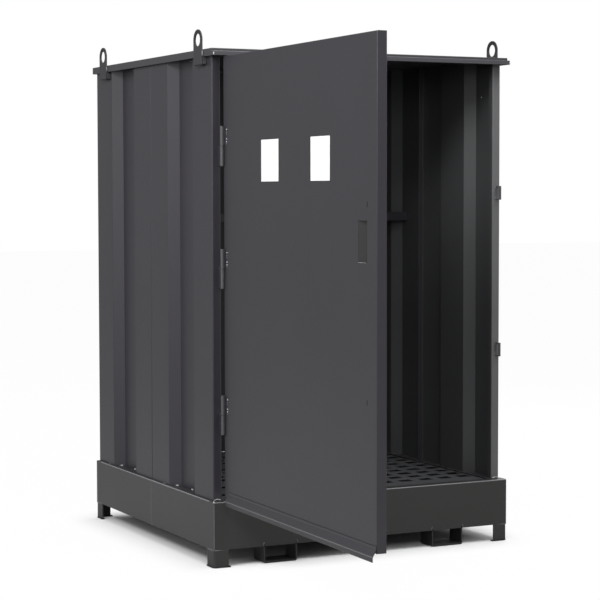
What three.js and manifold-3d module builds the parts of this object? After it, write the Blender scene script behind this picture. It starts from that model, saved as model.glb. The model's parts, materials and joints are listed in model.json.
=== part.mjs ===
// Drum storage cabinet of folded sheet steel on a sump base, with one lift-off hinged door.
// Millimetres, +Z up. +X runs along the front to the right, +Y to the back.
// The exported group has its origin at the centre of the front left foot's sole.
import * as THREE from 'three';
import Module from 'manifold-3d';
import { mergeVertices } from 'three/addons/utils/BufferGeometryUtils.js';

const wasm = await Module();
wasm.setup();

// Driving dimensions of the whole cabinet
const width = 1400;
const depth = 1366;
const height = 2106;
const rimHeight = 270;
const groundClearance = 72;
const doorOpenAngle = THREE.MathUtils.degToRad(91.3);

// Sheet and fits
const sheet = 3;
const seat = 0.3;
const overrun = 5;
const roundSides = 24;

// Sump base
const sideFlange = 61;
const endFlange = 50;
const footWidth = 65;
const footDepth = 70;
const footWall = 5;
const pocketWidth = 152;
const pocketDepth = 98;
const pocketWall = 6;
const pocketLift = 1.5;
const pocketInset = 300;

// Grate and the bearers under it
const grateThickness = 4;
const grateDrop = 4;
const grateGap = 8;
const grateSplit = 2;
const holeSize = 60;
const columns = 13;
const rows = 12;
const columnPitchShare = 0.0783;
const rowPitchShare = 0.0744;
const firstRowShare = 0.1056;
const bearerThickness = 12;
const bearerEvery = 3;
const flowNotchWidth = 90;
const flowNotchHeight = 35;
const flowNotches = 6;

// Walls
const wallInset = 15;
const postFront = 40;
const postWidth = 39;
const postLip = 30;
const seamFlange = 25;
const ribOpening = 276;
const ribDepth = 40;

// Roof and lifting eyes
const roofOverhang = 15;
const fasciaHeight = 30;
const roofStepBack = 20;
const roofStepDown = 12;
const roofBearerWidth = 40;
const roofBearerHeight = 18;
const eyeWidth = 85;
const eyeThickness = 5;
const eyeHoleRadius = 26;
const eyeRise = 40;
const eyeTail = 31;
const eyeLugWidth = 30;
const eyeFromEnd = 150;

// Cross rail between the side walls
const railSize = 40;
const railWall = 3;
const railShare = 0.68;
const railToRib = 6;

// Door leaf, in door coordinates: x from the hinge axis, y from the axis inwards when shut
const doorEndMargin = 21;
const doorThickness = 38;
const doorFootGap = 20;
const doorHeadGap = 3;
const doorLip = 15;
const hingeFromWall = 23.3;
const hingeToEdge = 3;
const hingeToFace = 7;
const stiffenerCrown = 50;
const stiffenerFlange = 20;
const stiffenerShares = [1 / 3, 2 / 3];

// Drip skirt along the foot of the door
const skirtLapTop = 26;
const skirtLapBend = 16;
const skirtKneeDrop = 10;
const skirtDrop = 28;
const skirtProud = 18;
const skirtStart = 40;

// Lift-off hinges
const barrelRadius = 7;
const barrelHalf = 80;
const barrelGap = 2;
const pinRadius = 4;
const pinClearance = 0.3;
const pinLength = 42;
const leafThickness = 6;
const leafSide = 2.2;
const doorLeafThickness = 5;
const doorLeafWidth = 15;
const notchSide = 2.3;
const notchEnd = 4;
const hingeShares = [0.188, 0.521, 0.798];

// Lock keepers, locks and the grip
const keeperShares = [0.3085, 0.6915];
const keeperTall = 60;
const keeperReach = 35;
const keeperBar = 5;
const keeperThickness = 8;
const keeperFromEdge = 12;
const keeperNotchSide = 4;
const keyDrop = 37;
const keyFromEdge = 73;
const keySlotWidth = 4;
const keySlotTall = 20;
const keySlotDepth = 20;
const boltTall = 30;
const boltThick = 12;
const boltLong = 58;
const boltHome = 19;
const lockFromEdge = 22;
const lockWide = 94;
const lockDepth = 28;
const lockWall = 8;
const gripWidth = 68;
const gripTall = 150;
const gripShare = 0.598;
const gripDepth = 27;
const gripSheet = 2;

// Blank placards on the door
const placardWide = 158;
const placardTall = 160;
const placardThickness = 1;
const placardShare = 0.762;
const placardPlaceShares = [0.339, 0.669];

// Places worked out from the sizes above
const panelFoot = rimHeight + seat;
const roofUnder = height - sheet;
const panelHead = roofUnder - seat;
const wallSeam = (postFront + depth) / 2;
const baseSeam = depth / 2;
const floorTop = groundClearance + sheet;
const grateTop = rimHeight - grateDrop;
const grateUnder = grateTop - grateThickness;
const hingeX = wallInset + hingeFromWall;
const hingeY = -hingeToFace;
const rearRibStart = wallSeam + (depth - wallSeam - ribOpening) / 2;
const grateLeft = sideFlange + grateGap;
const grateNear = endFlange + grateGap;
const columnPitch = (width - grateLeft * 2) * columnPitchShare;
const rowPitch = (depth - grateNear * 2) * rowPitchShare;
const firstRow = grateNear + (depth - grateNear * 2) * firstRowShare;
const railTop = height * railShare;
const doorWidth = width - doorEndMargin - hingeX - hingeToEdge;
const doorBottom = rimHeight + doorFootGap;
const doorTop = height - fasciaHeight - doorHeadGap;
const hingeHeights = hingeShares.map(doorLevel);
const keeperHeights = keeperShares.map(doorLevel);

// Height of a place on the door, from its share of the door's height
function doorLevel(share) {
  return doorBottom + (doorTop - doorBottom) * share;
}

const paint = {
  body: { color: 0x4b4c50, roughness: 0.52, metalness: 0.25 },
  door: { color: 0x49474c, roughness: 0.5, metalness: 0.25 },
  base: { color: 0x454647, roughness: 0.55, metalness: 0.25 },
  grate: { color: 0x5b5a60, roughness: 0.5, metalness: 0.35 },
  hardware: { color: 0x5e5d62, roughness: 0.45, metalness: 0.4 },
  steel: { color: 0xa7a8aa, roughness: 0.35, metalness: 0.9 },
  placard: { color: 0xe6e6e4, roughness: 0.6, metalness: 0 },
};

// Closed solid from a three.js geometry
function toSolid(geometry) {
  const bare = geometry.clone();
  bare.deleteAttribute('normal');
  bare.deleteAttribute('uv');
  const merged = mergeVertices(bare);
  return new wasm.Manifold(new wasm.Mesh({
    numProp: 3,
    vertProperties: Float32Array.from(merged.attributes.position.array),
    triVerts: Uint32Array.from(merged.index.array),
  }));
}

// three.js geometry from a solid
function toGeometry(solid) {
  const mesh = solid.getMesh();
  const geometry = new THREE.BufferGeometry();
  const positions = Float32Array.from(mesh.vertProperties);
  const triangles = Uint32Array.from(mesh.triVerts);
  geometry.setAttribute('position', new THREE.BufferAttribute(positions, 3));
  geometry.setIndex(new THREE.BufferAttribute(triangles, 1));
  geometry.computeVertexNormals();
  return geometry;
}

// Box between two corners
function box(x0, y0, z0, x1, y1, z1) {
  const geometry = new THREE.BoxGeometry(x1 - x0, y1 - y0, z1 - z0);
  geometry.translate((x0 + x1) / 2, (y0 + y1) / 2, (z0 + z1) / 2);
  return toSolid(geometry);
}

// Outline in the XY plane pushed up from z0 to z1
function alongZ(shape, z0, z1) {
  const geometry = new THREE.ExtrudeGeometry(shape, { depth: z1 - z0, bevelEnabled: false });
  geometry.translate(0, 0, z0);
  return toSolid(geometry);
}

// Outline in the (y, z) plane pushed along X from x0 to x1
function alongX(shape, x0, x1) {
  const geometry = new THREE.ExtrudeGeometry(shape, { depth: x1 - x0, bevelEnabled: false });
  geometry.applyMatrix4(new THREE.Matrix4().set(0, 0, 1, x0, 1, 0, 0, 0, 0, 1, 0, 0, 0, 0, 0, 1));
  return toSolid(geometry);
}

// Outline in the (x, z) plane pushed along Y from y0 to y1
function alongY(shape, y0, y1) {
  const geometry = new THREE.ExtrudeGeometry(shape, { depth: y1 - y0, bevelEnabled: false });
  geometry.rotateX(Math.PI / 2);
  geometry.translate(0, y1, 0);
  return toSolid(geometry);
}

function outline(points) {
  return new THREE.Shape(points.map(([a, b]) => new THREE.Vector2(a, b)));
}

// Folded sheet: a path thickened to its left, with mitred corners
function ribbon(path, thickness) {
  const inner = path.map(([a, b], i) => {
    const before = path[Math.max(i - 1, 0)];
    const after = path[Math.min(i + 1, path.length - 1)];
    const into = i > 0 ? new THREE.Vector2(a - before[0], b - before[1]).normalize() : null;
    const out = i < path.length - 1 ? new THREE.Vector2(after[0] - a, after[1] - b).normalize() : null;
    const first = into ?? out;
    const second = out ?? into;
    const n1 = new THREE.Vector2(-first.y, first.x);
    const n2 = new THREE.Vector2(-second.y, second.x);
    const sum = n1.clone().add(n2);
    const reach = thickness * 2 / sum.lengthSq();
    return [a + sum.x * reach, b + sum.y * reach];
  });
  return outline([...path, ...inner.reverse()]);
}

// Round bar with its axis along Z
function rodZ(x, y, z0, z1, radius) {
  const geometry = new THREE.CylinderGeometry(radius, radius, z1 - z0, roundSides);
  geometry.rotateX(Math.PI / 2);
  geometry.translate(x, y, (z0 + z1) / 2);
  return toSolid(geometry);
}

// The same solid on the other side, or at the other end, of the cabinet
function mirroredX(solid) {
  return solid.mirror([1, 0, 0]).translate([width, 0, 0]);
}

function mirroredY(solid) {
  return solid.mirror([0, 1, 0]).translate([0, depth, 0]);
}

const cabinet = new THREE.Group();
cabinet.position.set(-footWidth / 2, -footDepth / 2, 0);

function add(name, solid, finish, parent = cabinet) {
  const mesh = new THREE.Mesh(toGeometry(solid), new THREE.MeshStandardMaterial(finish));
  mesh.name = name;
  parent.add(mesh);
  return mesh;
}

// Sump base: folded panels with a flange on top, the floor, feet and fork pockets
function basePanelFront() {
  const path = [[endFlange, rimHeight], [0, rimHeight], [0, groundClearance]];
  return alongX(ribbon(path, sheet), 0, width);
}

function basePanelSide(y0, y1) {
  const path = [[sideFlange, rimHeight], [0, rimHeight], [0, groundClearance]];
  const panel = alongY(ribbon(path, sheet), y0, y1);
  const underFront = box(-overrun, -overrun, rimHeight - sheet - seat,
    sideFlange + overrun, endFlange + seat, rimHeight + overrun);
  return panel.subtract(underFront);
}

function foot() {
  const leg = box(0, 0, 0, footWidth, footDepth, groundClearance - seat);
  const bore = box(footWall, footWall, footWall,
    footWidth - footWall, footDepth - footWall, groundClearance + overrun);
  return leg.subtract(bore);
}

function forkPocket(centre) {
  const left = centre - pocketWidth / 2;
  const right = centre + pocketWidth / 2;
  const top = groundClearance - seat;
  const path = [[left, top], [left, pocketLift], [right, pocketLift], [right, top]];
  return alongY(ribbon(path, pocketWall), 0, pocketDepth);
}

function addBase() {
  const front = basePanelFront();
  add('base_front', front, paint.base);
  add('base_back', mirroredY(front), paint.base);
  const side = basePanelSide(sheet + seat, baseSeam - seat / 2);
  add('base_left_front', side, paint.body);
  add('base_left_rear', mirroredY(side), paint.body);
  add('base_right_front', mirroredX(side), paint.body);
  add('base_right_rear', mirroredX(mirroredY(side)), paint.body);
  const edge = sheet + seat;
  add('sump_floor', box(edge, edge, groundClearance, width - edge, depth - edge, floorTop), paint.base);

  const leg = foot();
  add('foot_front_left', leg, paint.base);
  add('foot_front_right', mirroredX(leg), paint.base);
  add('foot_rear_left', mirroredY(leg), paint.base);
  add('foot_rear_right', mirroredX(mirroredY(leg)), paint.base);

  const pocket = forkPocket(pocketInset);
  add('fork_pocket_front_left', pocket, paint.hardware);
  add('fork_pocket_front_right', mirroredX(pocket), paint.hardware);
  add('fork_pocket_rear_left', mirroredY(pocket), paint.hardware);
  add('fork_pocket_rear_right', mirroredX(mirroredY(pocket)), paint.hardware);
}

// Lift-out grate in two halves, on plates that stand on the sump floor
function grateHalf(y0, y1, firstHole, lastHole) {
  const plate = box(grateLeft, y0, grateUnder, width - grateLeft, y1, grateTop);
  const half = holeSize / 2;
  const holes = [];
  for (let row = firstHole; row <= lastHole; row += 1) {
    for (let column = 0; column < columns; column += 1) {
      const x = width / 2 + (column - (columns - 1) / 2) * columnPitch;
      const y = firstRow + row * rowPitch;
      holes.push(box(x - half, y - half, grateUnder - overrun, x + half, y + half, grateTop + overrun));
    }
  }
  return wasm.Manifold.difference([plate, ...holes]);
}

function grateBearer(y) {
  const left = sheet + seat;
  const right = width - left;
  const foot0 = floorTop + seat;
  const points = [[left, grateUnder - seat], [left, foot0]];
  const bay = (right - left) / flowNotches;
  for (let i = 0; i < flowNotches; i += 1) {
    const middle = left + bay * (i + 1 / 2);
    points.push([middle - flowNotchWidth / 2, foot0]);
    points.push([middle - flowNotchWidth / 2, foot0 + flowNotchHeight]);
    points.push([middle + flowNotchWidth / 2, foot0 + flowNotchHeight]);
    points.push([middle + flowNotchWidth / 2, foot0]);
  }
  points.push([right, foot0], [right, grateUnder - seat]);
  return alongY(outline(points), y - bearerThickness / 2, y + bearerThickness / 2);
}

function addGrate() {
  const split = firstRow + (rows / 2 - 1 / 2) * rowPitch;
  const far = depth - grateNear;
  add('grate_front', grateHalf(grateNear, split - grateSplit / 2, 0, rows / 2 - 1), paint.grate);
  add('grate_rear', grateHalf(split + grateSplit / 2, far, rows / 2, rows - 1), paint.grate);
  for (let web = 0; web <= rows; web += bearerEvery) {
    const y = firstRow + (web - 1 / 2) * rowPitch;
    add(`grate_bearer_${web / bearerEvery + 1}`, grateBearer(y), paint.base);
  }
}

// Walls: folded panels with one inward rib each, meeting at flanges inside the cabinet
function panelPath(length, starts, ends) {
  const ribStart = (length - ribOpening) / 2;
  const ribEnd = ribStart + ribOpening;
  return [
    ...starts,
    [0, 0],
    [ribStart, 0],
    [ribStart + ribDepth, ribDepth],
    [ribEnd - ribDepth, ribDepth],
    [ribEnd, 0],
    [length, 0],
    ...ends,
  ];
}

function postStart() {
  return [[postLip, postWidth], [0, postWidth]];
}

function sideWallPanel() {
  const length = wallSeam - seat / 2 - postFront;
  const path = panelPath(length, postStart(), [[length, seamFlange]]);
  const placed = path.map(([u, v]) => [wallInset + v, postFront + u]);
  return alongZ(ribbon(placed.reverse(), sheet), panelFoot, panelHead);
}

function backWallPanel() {
  const start = wallInset + postWidth + seat;
  const length = width / 2 - seat / 2 - start;
  const path = panelPath(length, [[0, seamFlange]], [[length, seamFlange]]);
  const placed = path.map(([u, v]) => [start + u, depth - v]);
  return alongZ(ribbon(placed.reverse(), sheet), panelFoot, panelHead);
}

function addWalls() {
  // The rear side panels mirror the front ones about the seam
  const panel = sideWallPanel();
  const rear = panel.mirror([0, 1, 0]).translate([0, wallSeam * 2, 0]);
  add('wall_left_front', panel, paint.body);
  add('wall_left_rear', rear, paint.body);
  add('wall_right_front', mirroredX(panel), paint.body);
  add('wall_right_rear', mirroredX(rear), paint.body);
  const back = backWallPanel();
  add('wall_back_left', back, paint.body);
  add('wall_back_right', mirroredX(back), paint.body);
}

// Roof tray with a step along its front edge, its two bearers and the four lifting eyes
function steppedBlock(margin, low, top) {
  const near = -roofOverhang + margin;
  const far = depth + roofOverhang - margin;
  const tray = box(margin, near + roofStepBack, low, width - margin, far, top);
  return tray.add(box(margin, near, low, width - margin, far, top - roofStepDown));
}

function roofTray() {
  const fasciaFoot = height - fasciaHeight;
  const hollow = steppedBlock(sheet, fasciaFoot - overrun, roofUnder);
  return steppedBlock(0, fasciaFoot, height).subtract(hollow);
}

function roofBearer(y) {
  const top = panelHead;
  const half = roofBearerWidth / 2;
  const low = top - roofBearerHeight;
  const path = [[y - half, top], [y - half, low], [y + half, low], [y + half, top]];
  const end = wallInset + sheet + seat;
  return alongX(ribbon(path, sheet), end, width - end);
}

function liftingEye(y) {
  const centre = height + eyeRise;
  const low = height - fasciaHeight - eyeTail;
  const half = eyeWidth / 2;
  const shape = new THREE.Shape();
  shape.moveTo(y - half, low);
  shape.lineTo(y + half, low);
  shape.lineTo(y + half, centre);
  shape.absarc(y, centre, half, 0, Math.PI, false);
  shape.closePath();
  const hole = new THREE.Path();
  hole.absarc(y, centre, eyeHoleRadius, 0, Math.PI * 2, true);
  shape.holes.push(hole);
  const plate = alongX(shape, -eyeThickness - seat, -seat);
  const lug = box(-eyeThickness / 2, y - eyeLugWidth / 2, low,
    wallInset - seat, y + eyeLugWidth / 2, height - fasciaHeight - seat);
  return plate.add(lug);
}

function addRoof() {
  add('roof', roofTray(), paint.body);
  const frontEye = eyeFromEnd - roofOverhang;
  const rearEye = depth + roofOverhang - eyeFromEnd;
  add('roof_bearer_front', roofBearer(frontEye), paint.body);
  add('roof_bearer_rear', roofBearer(rearEye), paint.body);
  add('lifting_eye_front_left', liftingEye(frontEye), paint.hardware);
  add('lifting_eye_front_right', mirroredX(liftingEye(frontEye)), paint.hardware);
  add('lifting_eye_rear_left', liftingEye(rearEye), paint.hardware);
  add('lifting_eye_rear_right', mirroredX(liftingEye(rearEye)), paint.hardware);
}

// Square tube between the side walls, in front of the rear ribs
function crossRail() {
  const y1 = rearRibStart - railToRib;
  const y0 = y1 - railSize;
  const end = wallInset + sheet + seat;
  const tube = box(end, y0, railTop - railSize, width - end, y1, railTop);
  const bore = box(end - overrun, y0 + railWall, railTop - railSize + railWall,
    width - end + overrun, y1 - railWall, railTop - railWall);
  return tube.subtract(bore);
}

// Places on the door that the frame needs too
const doorEdge = hingeToEdge + doorWidth;
const keeperX = hingeX + doorEdge - keeperFromEdge;

function lockKeeper(z) {
  const tip = postFront - keeperReach;
  const half = keeperTall / 2;
  const bar = box(keeperX - keeperThickness / 2, tip, z - half,
    keeperX + keeperThickness / 2, postFront - seat, z + half);
  const loop = box(keeperX - keeperThickness, tip + keeperBar, z - half + keeperBar,
    keeperX + keeperThickness, postFront - seat - keeperBar, z + half - keeperBar);
  return bar.subtract(loop);
}

function hingeFrameHalf(z) {
  const low = z - barrelHalf;
  const high = z - barrelGap / 2;
  const barrel = rodZ(hingeX, hingeY, low, high, barrelRadius);
  const leaf = box(hingeX + leafSide, hingeY, low,
    hingeX + leafSide + leafThickness, postFront - seat, high);
  const pin = rodZ(hingeX, hingeY, z - barrelHalf / 2, z + pinLength, pinRadius);
  return barrel.add(leaf).add(pin);
}

function addFrameHardware() {
  add('cross_rail', crossRail(), paint.body);
  const levels = ['lower', 'upper'];
  keeperHeights.forEach((z, i) => add(`lock_keeper_${levels[i]}`, lockKeeper(z), paint.hardware));
  const places = ['bottom', 'middle', 'top'];
  hingeHeights.forEach((z, i) => add(`hinge_frame_${places[i]}`, hingeFrameHalf(z), paint.hardware));
}

// Door, built shut about its hinge axis and swung open as a group
const door = new THREE.Group();
door.position.set(hingeX, hingeY, 0);
door.rotation.z = -doorOpenAngle;
cabinet.add(door);

const faceInside = hingeToFace + sheet;
const doorBack = hingeToFace + doorThickness;
const keeperLocal = keeperX - hingeX;
const keyX = doorEdge - keyFromEdge;
const gripRight = keyX;
const gripLeft = gripRight - gripWidth;
const gripLow = doorLevel(gripShare) - gripTall / 2;
const gripHigh = gripLow + gripTall;

function keySlot(z, y0, y1) {
  const middle = z - keyDrop;
  return box(keyX - keySlotWidth / 2, y0, middle - keySlotTall / 2,
    keyX + keySlotWidth / 2, y1, middle + keySlotTall / 2);
}

function doorSkin() {
  const innerEdge = hingeToEdge + sheet;
  let skin = box(hingeToEdge, hingeToFace, doorBottom, doorEdge, doorBack, doorTop);
  skin = skin.subtract(box(innerEdge, faceInside, doorBottom + sheet,
    doorEdge - sheet, doorBack - sheet, doorTop - sheet));
  skin = skin.subtract(box(innerEdge + doorLip, faceInside, doorBottom + sheet + doorLip,
    doorEdge - sheet - doorLip, doorBack + overrun, doorTop - sheet - doorLip));
  for (const z of hingeHeights) {
    skin = skin.subtract(box(hingeToEdge - overrun, hingeToFace - overrun, z - barrelHalf - notchEnd,
      leafSide + leafThickness + notchSide, doorBack + overrun, z - barrelGap / 2 + notchEnd));
  }
  for (const z of keeperHeights) {
    const half = keeperTall / 2 + keeperNotchSide;
    skin = skin.subtract(box(doorEdge - sheet - doorLip - overrun, doorBack - sheet - overrun, z - half,
      doorEdge - sheet, doorBack + overrun, z + half));
    skin = skin.subtract(keySlot(z, hingeToFace - overrun, faceInside + overrun));
  }
  return skin.subtract(box(gripLeft, hingeToFace - overrun, gripLow,
    gripRight, faceInside + overrun, gripHigh));
}

// Top-hat stiffener behind the face
function doorStiffener(x) {
  const half = stiffenerCrown / 2;
  const y0 = faceInside + seat;
  const y1 = doorBack - sheet - seat - sheet;
  const path = [
    [x - half - stiffenerFlange, y0],
    [x - half, y0],
    [x - half, y1],
    [x + half, y1],
    [x + half, y0],
    [x + half + stiffenerFlange, y0],
  ];
  return alongZ(ribbon(path, sheet), doorBottom + sheet + seat, doorTop - sheet - seat);
}

function doorSkirt() {
  const lap = hingeToFace - seat - sheet;
  const proud = hingeToFace - skirtProud;
  const path = [
    [lap, doorBottom + skirtLapTop],
    [lap, doorBottom + skirtLapBend],
    [proud, doorBottom - skirtKneeDrop],
    [proud, doorBottom - skirtDrop],
  ];
  return alongX(ribbon(path, sheet), hingeToEdge + skirtStart, doorEdge);
}

// Finger grip: a wedge-shaped pocket, flush at its left side and deep at its right
function doorGrip() {
  const left = gripLeft + seat;
  const right = gripRight - seat;
  const low = gripLow + seat;
  const high = gripHigh - seat;
  const shell = outline([
    [left, hingeToFace],
    [right, hingeToFace],
    [right, hingeToFace + gripDepth],
    [right - gripDepth, hingeToFace + gripDepth],
    [left, hingeToFace + sheet],
  ]);
  const pocket = outline([
    [left + gripSheet, hingeToFace - overrun],
    [right - gripSheet, hingeToFace - overrun],
    [right - gripSheet, hingeToFace + gripDepth - gripSheet],
    [right - gripDepth, hingeToFace + gripDepth - gripSheet],
    [left + gripSheet, hingeToFace + sheet - gripSheet],
  ]);
  return alongZ(shell, low, high).subtract(alongZ(pocket, low + gripSheet, high - gripSheet));
}

function lockCase(z) {
  const right = doorEdge - lockFromEdge;
  const left = right - lockWide;
  const y0 = faceInside + seat;
  const slotMiddle = (postFront - keeperReach + keeperBar + postFront - keeperBar) / 2 - hingeY;
  const half = boltThick / 2 + seat;
  const low = z - keyDrop - keySlotTall / 2 - lockWall;
  const high = z + boltTall / 2 + lockWall;
  const block = box(left, y0, low, right, y0 + lockDepth, high);
  const slot = box(left + lockWall, slotMiddle - half, z - boltTall / 2 - seat,
    right + overrun, slotMiddle + half, z + boltTall / 2 + seat);
  return block.subtract(slot).subtract(keySlot(z, y0 - overrun, y0 + keySlotDepth));
}

function lockBolt(z) {
  const slotMiddle = (postFront - keeperReach + keeperBar + postFront - keeperBar) / 2 - hingeY;
  const tip = keeperLocal + keeperThickness / 2 + sheet - boltHome;
  return box(tip - boltLong, slotMiddle - boltThick / 2, z - boltTall / 2,
    tip, slotMiddle + boltThick / 2, z + boltTall / 2);
}

function hingeDoorHalf(z) {
  const low = z + barrelGap / 2;
  const high = z + barrelHalf;
  const barrel = rodZ(0, 0, low, high, barrelRadius);
  const leafBack = hingeToFace - seat;
  const leaf = box(0, leafBack - doorLeafThickness, low, doorLeafWidth, leafBack, high);
  const bore = rodZ(0, 0, low - overrun, z + pinLength + barrelGap, pinRadius + pinClearance);
  return barrel.add(leaf).subtract(bore);
}

function placard(x) {
  const back = hingeToFace - seat;
  const z = doorLevel(placardShare);
  return box(x - placardWide / 2, back - placardThickness, z - placardTall / 2,
    x + placardWide / 2, back, z + placardTall / 2);
}

function addDoor() {
  add('door_skin', doorSkin(), paint.door, door);
  stiffenerShares.forEach((share, i) => {
    add(`door_stiffener_${i + 1}`, doorStiffener(hingeToEdge + doorWidth * share), paint.door, door);
  });
  add('door_skirt', doorSkirt(), paint.door, door);
  add('door_grip', doorGrip(), paint.door, door);
  const levels = ['lower', 'upper'];
  keeperHeights.forEach((z, i) => {
    add(`lock_case_${levels[i]}`, lockCase(z), paint.hardware, door);
    add(`lock_bolt_${levels[i]}`, lockBolt(z), paint.steel, door);
  });
  const places = ['bottom', 'middle', 'top'];
  hingeHeights.forEach((z, i) => add(`hinge_door_${places[i]}`, hingeDoorHalf(z), paint.hardware, door));
  placardPlaceShares.forEach((share, i) => {
    add(`placard_${i + 1}`, placard(hingeToEdge + doorWidth * share), paint.placard, door);
  });
}

addBase();
addGrate();
addWalls();
addRoof();
addFrameHardware();
addDoor();

export default cabinet;
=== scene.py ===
"""Looks of the drum storage cabinet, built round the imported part."""

import json
import math

import bmesh
import bpy
from mathutils import Matrix, Vector

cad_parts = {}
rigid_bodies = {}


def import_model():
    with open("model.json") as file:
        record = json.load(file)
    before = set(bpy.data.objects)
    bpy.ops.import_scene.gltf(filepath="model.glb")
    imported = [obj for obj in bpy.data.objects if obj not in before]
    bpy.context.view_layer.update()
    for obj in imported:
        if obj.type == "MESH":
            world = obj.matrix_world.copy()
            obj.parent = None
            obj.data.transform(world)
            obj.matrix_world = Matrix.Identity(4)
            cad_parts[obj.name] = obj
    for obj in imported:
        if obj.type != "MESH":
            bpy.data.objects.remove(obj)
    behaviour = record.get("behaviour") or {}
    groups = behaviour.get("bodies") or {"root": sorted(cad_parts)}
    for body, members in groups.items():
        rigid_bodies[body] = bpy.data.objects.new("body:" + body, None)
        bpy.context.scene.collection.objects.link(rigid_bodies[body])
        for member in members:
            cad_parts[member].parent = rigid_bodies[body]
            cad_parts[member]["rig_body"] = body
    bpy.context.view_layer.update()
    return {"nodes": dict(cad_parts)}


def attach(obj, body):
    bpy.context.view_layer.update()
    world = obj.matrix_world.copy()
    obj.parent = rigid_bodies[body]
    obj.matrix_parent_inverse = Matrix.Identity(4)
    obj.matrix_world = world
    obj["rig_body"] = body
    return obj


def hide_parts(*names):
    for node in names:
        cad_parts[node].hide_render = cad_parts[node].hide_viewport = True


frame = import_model()
nodes = frame["nodes"]

# ---------------------------------------------------------------- frame of reference
# Places are given in millimetres from the cabinet's front left bottom corner:
# x to the right, y to the back, z up. On the door x runs from the hinge axis and
# y from that axis inwards.
MM = 0.001
CORNER_X, CORNER_Y = 32.5, 35.0
HINGE_X, HINGE_Y = 38.3, -7.0
DOOR_ANGLE = math.radians(-91.3)

# Sizes of the part's source: RIM and CLEARANCE are the heights of the base's top and
# underside, FIT is the gap between neighbours.
WIDTH, DEPTH = 1400.0, 1366.0
RIM = 270.0
CLEARANCE = 72.0
SHEET = 3.0
FIT = 0.3
SIDE_FLANGE, END_FLANGE = 61.0, 50.0
BASE_SEAM = DEPTH / 2
WALL_INSET = 15.0
WALL_SEAM = 703.0
POST_FRONT, POST_WIDTH, POST_LIP = 40.0, 39.0, 30.0
SEAM_FLANGE = 25.0
RIB_OPENING, RIB_DEPTH = 276.0, 40.0
WALL_HEAD = 2102.7
FASCIA_FOOT = 2076.0
ROOF_FRONT = -15.0

SIDES = ("left", "right")
ENDS = ("front", "rear")


def spot(x, y, z):
    """Point of the cabinet in the row frame, in metres."""
    return Vector(((x - CORNER_X) * MM, (y - CORNER_Y) * MM, z * MM))


def door_spot(x, y, z):
    """Point of the open door in the row frame, in metres."""
    c, s = math.cos(DOOR_ANGLE), math.sin(DOOR_ANGLE)
    return spot(HINGE_X + c * x - s * y, HINGE_Y + s * x + c * y, z)


# ---------------------------------------------------------------- materials
def linear(red, green, blue):
    """Linear colour of an 8 bit one."""
    shares = [c / 255 for c in (red, green, blue)]
    return [c / 12.92 if c <= 0.04045 else ((c + 0.055) / 1.055) ** 2.4 for c in shares]


VECTOR, SCALAR = "ShaderNodeVectorMath", "ShaderNodeMath"
MIX_COLOURS, MIX_RESULT = (6, 7), 2


class Nodes:
    """Short calls for a material's node tree."""

    def __init__(self, name):
        self.material = bpy.data.materials.new(name)
        self.material.use_nodes = True
        self.tree = self.material.node_tree
        self.shader = self.tree.nodes["Principled BSDF"]
        self.coords = self.add("ShaderNodeTexCoord").outputs["Object"]

    def add(self, kind, **settings):
        node = self.tree.nodes.new(kind)
        for key, value in settings.items():
            setattr(node, key, value)
        return node

    def link(self, source, target):
        self.tree.links.new(source, target)

    def feed(self, value, socket):
        """Links a socket to another one, or sets its value."""
        if isinstance(value, bpy.types.NodeSocket):
            self.link(value, socket)
        else:
            socket.default_value = value

    def noise(self, scale, detail, roughness=0.5, stretch=None):
        node = self.add("ShaderNodeTexNoise")
        node.inputs["Scale"].default_value = scale
        node.inputs["Detail"].default_value = detail
        node.inputs["Roughness"].default_value = roughness
        source = self.coords
        if stretch:
            mapping = self.add("ShaderNodeMapping")
            mapping.inputs["Scale"].default_value = stretch
            self.link(source, mapping.inputs["Vector"])
            source = mapping.outputs["Vector"]
        self.link(source, node.inputs["Vector"])
        return node.outputs["Fac"]

    def ranged(self, source, low, high, start=0.0, end=1.0):
        """A value's run from start to end, spread from low to high."""
        node = self.add("ShaderNodeMapRange")
        for key, value in (("From Min", start), ("From Max", end),
                           ("To Min", low), ("To Max", high)):
            node.inputs[key].default_value = value
        self.link(source, node.inputs["Value"])
        return node.outputs["Result"]

    def mixed(self, factor, first, second):
        """Mix of two colours, each of them a socket or three values."""
        node = self.add("ShaderNodeMix", data_type="RGBA")
        self.link(factor, node.inputs["Factor"])
        for place, colour in zip(MIX_COLOURS, (first, second)):
            plain = not isinstance(colour, bpy.types.NodeSocket)
            self.feed((*colour, 1.0) if plain else colour, node.inputs[place])
        return node.outputs[MIX_RESULT]

    def computed(self, kind, operation, *values):
        """Outputs of a math node; its inputs are sockets or plain values."""
        node = self.add(kind, operation=operation)
        for value, socket in zip(values, node.inputs):
            self.feed(value, socket)
        return node.outputs

    def bump(self, source, distance, strength, below=None):
        node = self.add("ShaderNodeBump")
        node.inputs["Distance"].default_value = distance
        node.inputs["Strength"].default_value = strength
        self.link(source, node.inputs["Height"])
        if below is not None:
            self.link(below, node.inputs["Normal"])
        return node.outputs["Normal"]


# Grain of the powder coat per metre, the height of its relief in metres, and the shade
# of the mottle's dark spots
CLOUDS, MOTTLE, WAVES, PEEL = 2.2, 95.0, 3.2, 430.0
WAVE_HEIGHT, PEEL_HEIGHT = 0.0022, 0.00014
MOTTLE_SHADE = 0.93


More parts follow.
